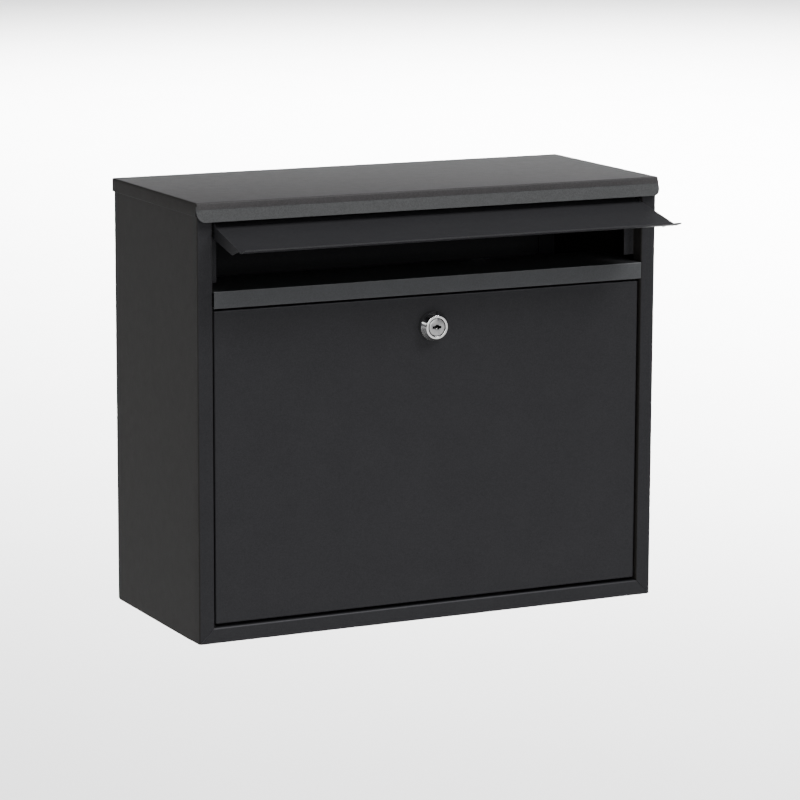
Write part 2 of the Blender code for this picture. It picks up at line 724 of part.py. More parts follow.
def make_lock_housing():
    bore = PLUG_FACE_RADIUS + GAP
    profile = [
        (HEAD_RADIUS - HEAD_CHAMFER, HEAD_LENGTH),
        (HEAD_RADIUS, HEAD_LENGTH - HEAD_CHAMFER),
        (HEAD_RADIUS, HEAD_LENGTH - HEAD_BAND),
        (FLANGE_RADIUS, HEAD_FOOT),
        (FLANGE_RADIUS, GAP),
        (BARREL_RADIUS, GAP),
        (BARREL_RADIUS, BARREL_REAR),
        (PLUG_RADIUS + GAP, BARREL_REAR),
        (PLUG_RADIUS + GAP, PLUG_STEP),
        (bore, PLUG_STEP),
        (bore, HEAD_LENGTH),
    ]
    turned("lock_housing", profile, lock_centre(), FORWARD, CHROME, HEAD_STEPS)


def make_lock_plug():
    """Stepped plug with a keyway in its face and a square tail for the cam."""
    shoulder = BARREL_REAR - GAP
    face = HEAD_LENGTH - PLUG_SET_BACK
    profile = [
        (0, face),
        (PLUG_FACE_RADIUS - PLUG_CHAMFER, face),
        (PLUG_FACE_RADIUS, face - PLUG_CHAMFER),
        (PLUG_FACE_RADIUS, PLUG_STEP + GAP),
        (PLUG_RADIUS, PLUG_STEP + GAP),
        (PLUG_RADIUS, shoulder),
        (0, shoulder),
    ]
    obj = turned("lock_plug", profile, lock_centre(), FORWARD, SATIN_CHROME, LOCK_SIDES, closed=False)
    x, y, z = lock_centre()
    half = TAIL_SIDE / 2
    tail_end = shoulder - GAP - CAM_THICKNESS + PLUG_SET_BACK
    near = (x - half, y - shoulder - CAM_THICKNESS, z - half)
    far = (x + half, y - tail_end, z + half)
    combine(obj, box_cutter("plug_tail", near, far), "UNION")
    wide, tall, deep = KEYWAY
    near = (x - wide / 2, y - face - BEYOND, z - tall / 2)
    far = (x + wide / 2, y - face + deep, z + tall / 2)
    cut(obj, box_cutter("keyway", near, far))
    centre = (x, y - face, z)
    cut(obj, rod_cutter("key_pin_hole", centre, "Y", KEY_PIN_RADIUS, HOLE_SIDES, 2 * deep))
    centre = (x, y - tail_end, z)
    depth = CAM_SCREW_LENGTH + CAM_SCREW_SPARE
    cut(obj, rod_cutter("cam_screw_bore", centre, "Y", CAM_SCREW_BORE, HOLE_SIDES, 2 * depth))


def make_lock_fasteners():
    inner_face = -SHEET
    top = inner_face - GAP
    washer = [
        (LOCK_WASHER_RADIUS, top),
        (LOCK_WASHER_RADIUS, top - LOCK_WASHER_THICKNESS),
        (LOCK_HOLE, top - LOCK_WASHER_THICKNESS),
        (LOCK_HOLE, top),
    ]
    turned("lock_washer", washer, lock_centre(), FORWARD, ZINC, LOCK_SIDES)

    nut_front = top - LOCK_WASHER_THICKNESS - GAP
    corner = NUT_ACROSS_FLATS / 2 / math.cos(math.radians(30))
    x, y, z = lock_centre()
    centre = (x, y - nut_front + NUT_THICKNESS / 2, z)
    nut = add_part("lock_nut", rod(centre, "Y", corner, NUT_THICKNESS, 6), ZINC)
    cut(nut, rod_cutter("nut_bore", centre, "Y", LOCK_HOLE, LOCK_SIDES, 3 * NUT_THICKNESS))


def cam_span():
    """World Y of the cam's front and rear faces."""
    front = DOOR_FRONT_Y - (BARREL_REAR - 2 * GAP)
    return front, front + CAM_THICKNESS


def make_cam():
    """Flat cam: a round hub and a smaller round tip, joined by straight sides, with a square hole."""
    front, rear = cam_span()
    slant = math.acos((CAM_HUB_RADIUS - CAM_TIP_RADIUS) / CAM_REACH)
    outline = []
    for step in range(CAM_STEPS + 1):
        angle = slant + (math.tau - 2 * slant) * step / CAM_STEPS
        outline.append((CAM_HUB_RADIUS * math.cos(angle), CAM_HUB_RADIUS * math.sin(angle)))
    for step in range(CAM_STEPS + 1):
        angle = -slant + 2 * slant * step / CAM_STEPS
        x = CAM_REACH + CAM_TIP_RADIUS * math.cos(angle)
        outline.append((x, CAM_TIP_RADIUS * math.sin(angle)))
    curve = bpy.data.curves.new("cam_outline", "CURVE")
    curve.dimensions = "2D"
    curve.fill_mode = "BOTH"
    curve.extrude = CAM_THICKNESS / 2
    spline = curve.splines.new("POLY")
    spline.points.add(len(outline) - 1)
    for point, (x, y) in zip(spline.points, outline):
        point.co = (x, y, 0, 1)
    spline.use_cyclic_u = True
    guide = bpy.data.objects.new("cam_outline", curve)
    PARTS.objects.link(guide)
    guide.location = (0, (front + rear) / 2, height(H_LOCK))
    guide.rotation_euler = FORWARD
    bpy.context.view_layer.update()
    mesh = bpy.data.meshes.new_from_object(guide.evaluated_get(bpy.context.evaluated_depsgraph_get()))
    bm = bmesh.new()
    bm.from_mesh(mesh)
    bmesh.ops.remove_doubles(bm, verts=bm.verts, dist=MERGE_DISTANCE)
    bpy.data.meshes.remove(mesh)
    cam = add_part("lock_cam", bm, ZINC)
    cam.matrix_world = guide.matrix_world.copy()
    bpy.data.objects.remove(guide, do_unlink=True)
    half = TAIL_SIDE / 2 + GAP
    z0 = height(H_LOCK)
    near = (-half, front - BEYOND, z0 - half)
    far = (half, rear + BEYOND, z0 + half)
    cut(cam, box_cutter("cam_hole", near, far))


def make_cam_screw():
    """Pan-head screw with a cross slot, in the plug's tail."""
    head_front = BARREL_REAR - 3 * GAP - CAM_THICKNESS
    head_rear = head_front - CAM_SCREW_CROWN
    profile = [
        (0, head_front + CAM_SCREW_LENGTH),
        (CAM_SCREW_RADIUS, head_front + CAM_SCREW_LENGTH),
        (CAM_SCREW_RADIUS, head_front),
        (CAM_SCREW_HEAD, head_front),
        (CAM_SCREW_HEAD, head_front - CAM_SCREW_EDGE),
        (CAM_SCREW_TOP, head_rear),
        (0, head_rear),
    ]
    obj = turned("cam_screw", profile, lock_centre(), FORWARD, ZINC, PIN_SIDES, closed=False)
    x, y, z = lock_centre()
    rear = y - head_rear
    long, thin, deep = CROSS_SLOT
    for index, (wide, tall) in enumerate(((long, thin), (thin, long))):
        near = (x - wide, rear - deep, z - tall)
        far = (x + wide, rear + BEYOND, z + tall)
        cut(obj, box_cutter(f"cam_screw_slot_{index}", near, far))


# ---------------------------------------------------------------- rivets


def rivet_places():
    """Name, X and Z of each rivet through the back panel."""
    places = []
    for side, label in ((-1, "left"), (1, "right")):
        for index, h in enumerate(SIDE_RIVET_HEIGHTS, 1):
            places.append((f"back_rivet_{label}_{index}", side * side_rivet_x(), height(h)))
    for index, x in enumerate(FLOOR_RIVET_X, 1):
        places.append((f"back_rivet_floor_{index}", x, height(H_FLOOR_RIVET)))
    return places


def make_rivets():
    """Domed rivets: the head inside the box, the shank flush with the back panel's rear face."""
    head_base = -REAR_FLANGE_Y + SHEET + GAP
    head_top = head_base + RIVET_HEAD_HEIGHT
    crown = [(radius, head_top - drop) for radius, drop in RIVET_CROWN]
    profile = [
        (0, head_top),
        *crown,
        (RIVET_HEAD, head_base),
        (RIVET_RADIUS, head_base),
        (RIVET_RADIUS, RIVET_SET_BACK),
        (0, RIVET_SET_BACK),
    ]
    for name, x, z in rivet_places():
        turned(name, profile, (x, 0, z), FORWARD, ZINC, HOLE_SIDES, closed=False)


clear_scene()
PARTS = make_collection(OBJECT_NAME)
CUTTERS = make_collection("cutters")
make_side_panel("side_panel_left", -1)
make_side_panel("side_panel_right", 1)
make_bottom_panel()
make_back_panel()
make_roof()
make_sill()
make_flap()
make_door()
make_pivots()
make_lock_housing()
make_lock_plug()
make_lock_fasteners()
make_cam()
make_cam_screw()
make_rivets()
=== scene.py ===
"""Looks for the wall mounted mailbox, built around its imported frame.

Metres, +Z up; the wall is the plane Y = 0 and the front faces -Y.
"""

import json
import math

import bmesh
import bpy
from mathutils import Matrix, Vector


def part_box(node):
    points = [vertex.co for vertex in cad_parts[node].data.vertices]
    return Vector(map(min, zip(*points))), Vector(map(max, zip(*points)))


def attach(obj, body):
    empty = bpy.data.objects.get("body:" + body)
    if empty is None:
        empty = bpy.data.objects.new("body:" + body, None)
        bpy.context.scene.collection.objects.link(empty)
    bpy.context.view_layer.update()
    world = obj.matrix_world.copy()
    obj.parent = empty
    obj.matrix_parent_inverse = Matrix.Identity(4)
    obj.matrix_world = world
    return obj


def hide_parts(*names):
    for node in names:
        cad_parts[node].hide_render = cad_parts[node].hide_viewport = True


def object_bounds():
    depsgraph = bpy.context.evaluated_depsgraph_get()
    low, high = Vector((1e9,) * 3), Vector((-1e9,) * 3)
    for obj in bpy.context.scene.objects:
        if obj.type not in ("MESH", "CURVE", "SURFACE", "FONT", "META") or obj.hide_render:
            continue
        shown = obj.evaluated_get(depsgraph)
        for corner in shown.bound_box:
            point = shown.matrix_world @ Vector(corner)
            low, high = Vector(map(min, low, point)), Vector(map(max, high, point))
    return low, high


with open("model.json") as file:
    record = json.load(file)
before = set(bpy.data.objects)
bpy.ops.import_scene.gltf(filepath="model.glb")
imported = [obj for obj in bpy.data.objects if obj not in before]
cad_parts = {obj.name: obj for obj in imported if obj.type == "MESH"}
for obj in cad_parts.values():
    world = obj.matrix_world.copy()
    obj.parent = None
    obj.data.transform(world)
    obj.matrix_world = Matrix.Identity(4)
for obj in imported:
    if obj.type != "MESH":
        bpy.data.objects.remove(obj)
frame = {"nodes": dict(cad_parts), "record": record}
CAD_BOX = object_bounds()

MM = 0.001
NEAR = 0.1 * MM
WELD_REACH = 0.01 * MM

# Camera
CAMERA_PLACE = (-1.178, -2.505, 0.4948)
CAMERA_YAW = math.radians(26.152)
CAMERA_PITCH = math.radians(10.58)
CAMERA_ROLL = math.radians(0.228)
CAMERA_LENS = 161.35
CAMERA_SENSOR = 36.0

# Floor and light
FLOOR_DROP = 1.25
FLOOR_SIZE = 90.0
WORLD_COLOUR = (0.94, 0.95, 1.0, 1.0)
WORLD_STRENGTH = 0.32
SUN_DIRECTION = (0.12, -0.45, 1.0)
SUN_STRENGTH = 3.6
SUN_ANGLE = 50

# Softboxes: name, place, target, size, power in watts and spread in degrees
SOFTBOXES = (
    ("back_strip", (1.9, 3.4, 1.0), (0, -0.08, 0.16), (3.2, 0.9), 25, 180),
    ("front_low", (-0.5, -4.2, 0.95), (0, -0.1, 0.05), (2.4, 1.2), 116, 180),
    ("lip_glint", (0.85, -1.35, 1.4), (0.03, -0.16, 0.15), (0.6, 0.45), 31, 180),
    ("floor_fill", (7.5, 11.0, 5.0), (7.5, 11.0, 0.0), (9.0, 14.0), 6000, 100),
    ("left_wall", (-2.8, -0.5, 1.35), (0, -0.16, 0.06), (0.8, 1.1), 13, 180),
)


# ---------------------------------------------------------------- node helpers


class Nodes:
    """A material's node tree, with short calls for the nodes that the finishes share."""

    def __init__(self, name):
        self.material = bpy.data.materials.new(name)
        self.material.use_nodes = True
        self.tree = self.material.node_tree
        self.shader = self.tree.nodes["Principled BSDF"]
        coordinates = self.tree.nodes.new("ShaderNodeTexCoord")
        self.place = coordinates.outputs["Object"]
        split = self.add("ShaderNodeSeparateXYZ", None, Vector=coordinates.outputs["Normal"])
        self.facing = split.outputs

    def link(self, source, target):
        self.tree.links.new(source, target)

    def feed(self, target, value):
        """Set a socket to a number or colour, or link it to another node's socket."""
        if isinstance(value, bpy.types.NodeSocket):
            self.link(value, target)
        else:
            target.default_value = value

    def add(self, kind, settings=None, **inputs):
        node = self.tree.nodes.new(kind)
        for key, value in (settings or {}).items():
            setattr(node, key, value)
        for key, value in inputs.items():
            self.feed(node.inputs[key.replace("_", " ")], value)
        return node

    def stretched(self, scale):
        """Object coordinates multiplied by a scale for each axis."""
        node = self.add("ShaderNodeMapping", None, Vector=self.place)
        node.inputs["Scale"].default_value = scale
        return node.outputs["Vector"]

    def noise(self, size, detail=3.0, roughness=0.5, vector=None):
        """Noise whose features are about one size across, in metres; values lie around 0.5."""
        node = self.add(
            "ShaderNodeTexNoise",
            None,
            Vector=vector or self.place,
            Scale=1.0 / size,
            Detail=detail,
            Roughness=roughness,
        )
        return node.outputs["Fac"]

    def grains(self, size, vector=None):
        """A random value for each cell of about one size across."""
        node = self.add("ShaderNodeTexVoronoi", None, Vector=vector or self.place, Scale=1.0 / size)
        parts = self.add("ShaderNodeSeparateColor", None, Color=node.outputs["Color"])
        return parts.outputs["Red"]

    def spread(self, value, low_in, high_in, low_out, high_out):
        node = self.add("ShaderNodeMapRange", None, Value=value)
        ends = (("From Min", low_in), ("From Max", high_in), ("To Min", low_out), ("To Max", high_out))
        for key, end in ends:
            node.inputs[key].default_value = end
        return node.outputs["Result"]

    def maths(self, operation, first, second):
        node = self.add("ShaderNodeMath", {"operation": operation})
        self.feed(node.inputs[0], first)
        self.feed(node.inputs[1], second)
        return node.outputs["Value"]

    def mixed(self, share, first, second):
        node = self.add("ShaderNodeMix", {"data_type": "RGBA"})
        self.feed(node.inputs["Factor"], share)
        self.feed(node.inputs[6], first)
        self.feed(node.inputs[7], second)
        return node.outputs[2]

    def bump(self, value, height, strength=1.0, normal=None):
        node = self.add("ShaderNodeBump", None, Height=value, Distance=height, Strength=strength)
        if normal is not None:
            self.link(normal, node.inputs["Normal"])
        return node.outputs["Normal"]

    def worn_and_lit_edges(self, radius):
        """About 1 on the sharp outer edges and 0 on the flats, from the rounded normal."""
        round_normal = self.add("ShaderNodeBevel", {"samples": 4}, Radius=radius)
        surface = self.add("ShaderNodeNewGeometry")
        dot = self.add("ShaderNodeVectorMath", {"operation": "DOT_PRODUCT"})
        self.link(round_normal.outputs["Normal"], dot.inputs[0])
        self.link(surface.outputs["Normal"], dot.inputs[1])
        return self.spread(dot.outputs["Value"], 1.0, 0.93, 0.0, 1.0)

    def set(self, **inputs):
        for key, value in inputs.items():
            self.feed(self.shader.inputs[key.replace("_", " ")], value)


# ---------------------------------------------------------------- finishes

# Powder coat
TONE_RANGE = (0.78, 1.3)
# Edges are made paler by this share, partly as wear and partly as a painted highlight.
WORN_AND_LIT_EDGE_SHARE = 2.6
WORN_AND_LIT_EDGE_WIDTH = 0.5 * MM
SPECKLE_SIZE = 0.55 * MM
MOTTLE_SIZE = 28 * MM
HANDLING_SIZE = 9 * MM
PEBBLE_SIZE = 0.8 * MM
PEEL_SIZE = 3.2 * MM
FILM_RELIEF = 0.05 * MM

# Metals and nylon
SMEAR_SIZE = 3 * MM
SCRATCH_SIZE = 0.35 * MM
SCRATCH_DEPTH = 0.004 * MM
RING_DEPTH = 0.006 * MM
FACET_SIZE = 1.1 * MM
CLOUD_SIZE = 4 * MM
PLATING_SIZE = 0.5 * MM
PLATING_RELIEF = 0.01 * MM
SKIN_SIZE = 0.4 * MM
SKIN_RELIEF = 0.02 * MM
FLOW_SIZE = 2.5 * MM

# Lock face, measured from its middle and its front
RIM_INNER = 7.0 * MM
RIM_ROUND = 0.35 * MM
RECESS_START = 0.3 * MM
RECESS_END = 0.7 * MM
RING_PITCH = 0.28 * MM


def shade(colour, share):
    """A colour scaled by a share, with its alpha."""
    return tuple(channel * share for channel in colour) + (1.0,)


def powder_coat(name, base, rough=0.5, grain=1.0, specular=0.06, fold=1.0, level=1.0, flank_painted_light=None):
    """Fine-textured matt powder coat: a pebbled film, faint mottling and paler, smoother edges.

    fold makes the bends that face up paler as a painted highlight, level scales the colour of faces
    that look straight up as painted shade, and the colour for sideways faces is painted light on faces
    that look sideways.
    """
    nodes = Nodes(name)
    speckle = nodes.grains(SPECKLE_SIZE)
    mottle = nodes.noise(MOTTLE_SIZE, 4.0, 0.6)
    handling = nodes.noise(HANDLING_SIZE, 5.0, 0.65)
    pebble = nodes.noise(PEBBLE_SIZE, 2.0, 0.55)
    orange_peel = nodes.noise(PEEL_SIZE, 2.0, 0.45)

    dark, light = (shade(base, share) for share in TONE_RANGE)
    tone = nodes.maths(
        "ADD",
        nodes.spread(speckle, 0.0, 1.0, -0.28 * grain, 0.28 * grain),
        nodes.spread(mottle, 0.3, 0.7, 0.42, 0.58),
    )
    colour = nodes.mixed(tone, dark, light)
    # Painted light: faces that look sideways take a paler, warmer colour.
    if flank_painted_light:
        sideways = nodes.maths("ABSOLUTE", nodes.facing["X"], 0.0)
        ends = [shade(flank_painted_light, share) for share in TONE_RANGE]
        on_side = nodes.spread(sideways, 0.5, 0.8, 0.0, 1.0)
        colour = nodes.mixed(on_side, colour, nodes.mixed(tone, *ends))
    # Painted highlight: bends that face up are made paler.
    if fold > 1.0:
        tilted = nodes.spread(nodes.facing["Z"], 0.12, 0.6, 0.0, 1.0)
        bent = nodes.maths("MULTIPLY", tilted, nodes.spread(nodes.facing["Z"], 0.86, 0.97, 1.0, 0.0))
        colour = nodes.mixed(bent, colour, shade(base, fold))
    # Painted shade: faces that look straight up are darkened.
    if level < 1.0:
        flat = nodes.spread(nodes.facing["Z"], 0.9, 0.99, 0.0, 1.0)
        colour = nodes.mixed(flat, colour, shade(base, level))
    # Paler edges: partly wear, partly a painted highlight on the folds.
    edge = nodes.worn_and_lit_edges(WORN_AND_LIT_EDGE_WIDTH)
    edge_share = nodes.maths("MULTIPLY", edge, nodes.spread(handling, 0.35, 0.65, 0.12, 0.5))
    colour = nodes.mixed(edge_share, colour, shade(base, WORN_AND_LIT_EDGE_SHARE))

    roughness = nodes.spread(handling, 0.3, 0.7, rough - 0.02, rough + 0.02)
    roughness = nodes.maths("SUBTRACT", roughness, nodes.maths("MULTIPLY", edge_share, 0.2))

    normal = nodes.bump(orange_peel, FILM_RELIEF, 0.5)
    normal = nodes.bump(pebble, FILM_RELIEF, 0.55 * grain, normal)
    nodes.set(Base_Color=colour, Roughness=roughness, Normal=normal, Specular_IOR_Level=specular)
    return nodes.material


def chrome(name, centre, brushed):
    """Bright nickel-chrome, with painted shade down inside the lock; the turned face carries fine
    rings.
    """
    nodes = Nodes(name)
    shifted = nodes.add("ShaderNodeVectorMath", {"operation": "SUBTRACT"})
    nodes.link(nodes.place, shifted.inputs[0])
    shifted.inputs[1].default_value = centre
    flat = nodes.add("ShaderNodeVectorMath", {"operation": "MULTIPLY"})
    nodes.link(shifted.outputs["Vector"], flat.inputs[0])
    flat.inputs[1].default_value = (1.0, 0.0, 1.0)
    radius = nodes.add("ShaderNodeVectorMath", {"operation": "LENGTH"})
    nodes.link(flat.outputs["Vector"], radius.inputs[0])
    parts = nodes.add("ShaderNodeSeparateXYZ", None, Vector=shifted.outputs["Vector"])
    depth = nodes.spread(parts.outputs["Y"], RECESS_START, RECESS_END, 0.0, 1.0)
    inside = nodes.spread(radius.outputs["Value"], RIM_INNER, RIM_INNER + NEAR, 1.0, 0.0)
    painted_recess_shade = nodes.maths("MULTIPLY", depth, inside)
    smear = nodes.noise(SMEAR_SIZE, 4.0, 0.6)
    scratch = nodes.noise(SCRATCH_SIZE, 2.0, 0.5, nodes.stretched((1.0, 1.0, 9.0)))
    low, high = (0.58, 0.58, 0.59, 1), (0.68, 0.67, 0.65, 1)
    if brushed:
        low, high = (0.27, 0.27, 0.28, 1), (0.35, 0.345, 0.335, 1)
    tint = nodes.mixed(nodes.spread(smear, 0.3, 0.7, 0.0, 1.0), low, high)
    # Painted shade: the keyhole and bore behind the front are coloured near black.
    tint = nodes.mixed(painted_recess_shade, tint, (0.006, 0.006, 0.006, 1))
    roughness = nodes.spread(smear, 0.3, 0.7, 0.09 + 0.16 * brushed, 0.17 + 0.2 * brushed)
    normal = nodes.bump(scratch, SCRATCH_DEPTH, 0.25)
    if brushed:
        turns = nodes.maths("MULTIPLY", radius.outputs["Value"], math.tau / RING_PITCH)
        rings = nodes.maths("SINE", turns, 0.0)
        normal = nodes.bump(rings, RING_DEPTH, 0.35, normal)
    nodes.set(Base_Color=tint, Roughness=roughness, Metallic=1.0, Normal=normal)
    return nodes.material


def zinc(name):
    """Zinc plating: clouded passivation with small crystal facets."""
    nodes = Nodes(name)
    facets = nodes.grains(FACET_SIZE)
    cloud = nodes.noise(CLOUD_SIZE, 4.0, 0.6)
    clouded = nodes.spread(cloud, 0.3, 0.7, 0.0, 1.0)
    tint = nodes.mixed(clouded, (0.50, 0.51, 0.53, 1), (0.66, 0.63, 0.55, 1))
    tint = nodes.mixed(nodes.spread(facets, 0.0, 1.0, 0.0, 0.3), tint, (0.78, 0.78, 0.79, 1))
    roughness = nodes.spread(facets, 0.0, 1.0, 0.26, 0.42)
    normal = nodes.bump(nodes.noise(PLATING_SIZE, 3.0, 0.6), PLATING_RELIEF, 0.4)
    nodes.set(Base_Color=tint, Roughness=roughness, Metallic=1.0, Normal=normal)
    return nodes.material


def nylon(name):
    """Moulded black nylon with a fine matt skin."""
    nodes = Nodes(name)
    skin = nodes.noise(SKIN_SIZE, 3.0, 0.6)
    flow = nodes.noise(FLOW_SIZE, 3.0, 0.5)
    streaks = nodes.spread(flow, 0.3, 0.7, 0.0, 1.0)
    colour = nodes.mixed(streaks, (0.003, 0.003, 0.003, 1), (0.006, 0.006, 0.006, 1))
    roughness = nodes.spread(skin, 0.3, 0.7, 0.5, 0.66)
    normal = nodes.bump(skin, SKIN_RELIEF, 0.4)
    nodes.set(Base_Color=colour, Roughness=roughness, Normal=normal, Specular_IOR_Level=0.04)
    return nodes.material


# ---------------------------------------------------------------- CAD nodes


def dress(node, material, edge_round):
    """Give a CAD node its finish and softly rounded edges."""
    obj = frame["nodes"][node]
    obj.data.materials.clear()
    obj.data.materials.append(material)
    obj.data.shade_smooth()
    weld = obj.modifiers.new("Weld", "WELD")
    weld.merge_threshold = WELD_REACH
    rounding = obj.modifiers.new("Edges", "BEVEL")
    rounding.width = edge_round
    rounding.segments = 2
    rounding.limit_method = "ANGLE"
    rounding.angle_limit = math.radians(50)
    rounding.use_clamp_overlap = True
    shading = obj.modifiers.new("Shading", "WEIGHTED_NORMAL")
    shading.keep_sharp = False
    shading.weight = 100


COAT = (0.0128, 0.0128, 0.0139)
LOCK_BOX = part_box("lock_housing")
LOCK_CENTRE = (
    (LOCK_BOX[0].x + LOCK_BOX[1].x) / 2,
    LOCK_BOX[0].y,
    (LOCK_BOX[0].z + LOCK_BOX[1].z) / 2,
)
COAT_EDGE = 0.18 * MM
HARDWARE_EDGE = 0.1 * MM

coat = powder_coat("coat_body", COAT)
# Door and bottom panel: painted highlight on up-facing bends and painted shade on faces that look
# straight up.
coat_fold_painted_light_and_shade = powder_coat("coat_fold_painted_light_and_shade", COAT, fold=3.0, level=0.6)
# Side panels and roof flanges: painted light as a paler, warmer colour on faces that look sideways.
coat_side_painted_light = powder_coat("coat_side_painted_light", COAT, specular=0.045, flank_painted_light=(0.0142, 0.0133, 0.0124))
# Painted highlight: a paler, more speckled copy of the coat for the drip lip.
coat_lip_painted_light = powder_coat("coat_lip_painted_light", (0.0200, 0.0207, 0.0213), grain=2.6, specular=0.10)
# Painted light and shade: a paler copy of the coat for the sill, with pale bends and a darker shelf
# top.
coat_sill_painted_light_and_shade = powder_coat("coat_sill_painted_light_and_shade", (0.035, 0.036, 0.0375), grain=0.7, fold=2.2, level=0.45)
# Painted light: a paler copy of the coat for the roof.
coat_roof_painted_light = powder_coat("coat_roof_painted_light", (0.0270, 0.0258, 0.0264), grain=1.4, specular=0.08)
bright = chrome("chrome_head", LOCK_CENTRE, False)
satin = chrome("chrome_face", LOCK_CENTRE, True)
plated = zinc("zinc_plate")
moulded = nylon("nylon_black")

REBUILT = ("roof_cap", "slot_sill", "lock_housing", "lock_plug")
COATS = {
    "side_panel_left": coat_side_painted_light,
    "side_panel_right": coat_side_painted_light,
    "door_panel": coat_fold_painted_light_and_shade,
    "bottom_panel": coat_fold_painted_light_and_shade,
}

for entry in frame["record"]["subparts"]:
    node = entry["node"]
    slot = entry["material_slot"]
    if node in REBUILT:
        continue
    if slot == "powder_coat":
        dress(node, COATS.get(node, coat), COAT_EDGE)
    elif slot == "zinc":
        dress(node, plated, HARDWARE_EDGE)
    else:
        dress(node, moulded, HARDWARE_EDGE)


# ---------------------------------------------------------------- rebuilt pieces

# Sheet metal
SHEET = 1.0 * MM
TIGHTEST_BEND = 0.15 * MM
FOLDED_EDGE = 0.15 * MM
ROOF_LIP_REACH = 4.2 * MM
ROOF_EASE = 0.05 * MM
LIP_TUCK = 0.06 * MM
LIP_CLEAR = 0.1 * MM
ROOF_LIP_RISE = 0.2 * MM
ROOF_BAND = 5.2 * MM
ROOF_SIDE = 10.0 * MM
ROOF_FOLD = 1.3 * MM
ROOF_EDGE = 0.2 * MM
LIP_OVERLAP = 2.5 * MM
LIP_BEND = 1.6 * MM
LIP_STEPS = 16
LIP_CORNER = (5.5 * MM, 7.0 * MM)
SILL_FACE = 12.5 * MM
SILL_RETURN = 13.7 * MM
SHELF_LIP = 8.0 * MM
SILL_BENDS = (1.0 * MM, 0.7 * MM, 0.7 * MM, 1.2 * MM)

# Cam lock
RIM_OUTER = 8.9 * MM
HEAD_BORE_DEPTH = 5.0 * MM
CONE_START = 0.9 * MM
CONE_END = 4.3 * MM
HEAD_FOOT_END = 8.7 * MM
BARREL = 8.0 * MM
PLUG_BORE = 5.3 * MM
PLUG_FACE = 6.4 * MM
PLUG_STEP = 4.5 * MM
PLUG_BODY = 5.0 * MM
PLUG_SHOULDER = 20.7 * MM
TAIL_SIDE = 7.0 * MM
KEY_SLOT = (3.7 * MM, 0.95 * MM)
KEY_ROUND = 2.0 * MM
KEY_DEPTH = 3.6 * MM
KEY_FLARE = 1.05
KEY_FLARE_DEPTH = 0.12 * MM
RIM_CROWN = 0.5 * MM
FLANGE_ROUND = 0.35 * MM
FLANGE_EASE = 0.12 * MM
FLANGE_DROP = 0.3 * MM
BARREL_CHAMFER = 0.4 * MM
PLUG_ROUND = 0.35 * MM
PLUG_EASE = 0.1 * MM
LATHE_STEPS = 96
KEY_PIN = 0.75 * MM
KEY_PIN_DROP = 1.2 * MM
KEY_PIN_BACK = 0.35 * MM


def add_piece(name, bm, material, body, stands_for=None, smooth_angle=35):
    """Link a bmesh as a visual piece that rides on a body."""
    mesh = bpy.data.meshes.new(name)
    bmesh.ops.recalc_face_normals(bm, faces=bm.faces)
    bm.to_mesh(mesh)
    bm.free()
    mesh.materials.append(material)
    piece = bpy.data.objects.new(name, mesh)
    bpy.context.scene.collection.objects.link(piece)
    mesh.shade_smooth()
    mesh.set_sharp_from_angle(angle=math.radians(smooth_angle))
    if stands_for:
        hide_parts(stands_for)
    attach(piece, body)
    return piece


def soften(piece, width, segments=2, angle=40):
    """Round the piece's sharp edges a little, keeping its flats flat in the shading."""
    rounding = piece.modifiers.new("Edges", "BEVEL")
    rounding.width = width
    rounding.segments = segments
    rounding.limit_method = "ANGLE"
    rounding.angle_limit = math.radians(angle)
    rounding.harden_normals = True
    return piece


def rounded_chain(points, radii, steps=6):
    """A chain of 2D points with each inner corner turned into an arc of its own radius."""
    chain = [Vector(points[0])]
    for before, corner, after, radius in zip(points, points[1:], points[2:], radii):
        corner = Vector(corner)
        back = (Vector(before) - corner).normalized()
        on = (Vector(after) - corner).normalized()
        half_turn = back.angle(on) / 2
        reach = radius / math.tan(half_turn)
        centre = corner + (back + on).normalized() * radius / math.sin(half_turn)
        start = corner + back * reach - centre
        end = corner + on * reach - centre
        swing = start.angle_signed(end)
        for step in range(steps + 1):
            turn = Matrix.Rotation(-swing * step / steps, 2)
            chain.append(centre + turn @ start)
    chain.append(Vector(points[-1]))
    return chain


def offset_chain(chain, distance):
    """The chain moved sideways by a distance, to the left of its direction for a positive one."""
    moved = []
    for index, point in enumerate(chain):
        tangents = []
        if index:
            tangents.append((point - chain[index - 1]).normalized())
        if index < len(chain) - 1:
            tangents.append((chain[index + 1] - point).normalized())
        normals = [Vector((-t.y, t.x)) for t in tangents]
        middle = sum(normals, Vector((0, 0))).normalized()
        moved.append(point + middle * distance / middle.dot(normals[0]))
    return moved


def folded_sheet(points, radii, low_x, high_x):
    """A closed sheet from the (y, z) corners of its outer face, thickened to its right, along X."""
    corners = [Vector(point) for point in points]
    inner_radii = []
    for before, corner, after, radius in zip(corners, corners[1:], corners[2:], radii):
        turn = (corner - before).cross(after - corner)
        inner_radii.append(max(radius + math.copysign(SHEET, turn), TIGHTEST_BEND))
    inner = rounded_chain(offset_chain(corners, -SHEET), inner_radii)
    outline = rounded_chain(corners, radii) + list(reversed(inner))
    bm = bmesh.new()
    ends = [[bm.verts.new((x, point.x, point.y)) for point in outline] for x in (low_x, high_x)]
    count = len(outline)
    for index in range(count):
        after = (index + 1) % count
        bm.faces.new((ends[0][index], ends[0][after], ends[1][after], ends[1][index]))
    half = count // 2
    for end in ends:
        for index in range(half - 1):
            bm.faces.new((end[index], end[index + 1], end[count - 2 - index], end[count - 1 - index]))
    return bm


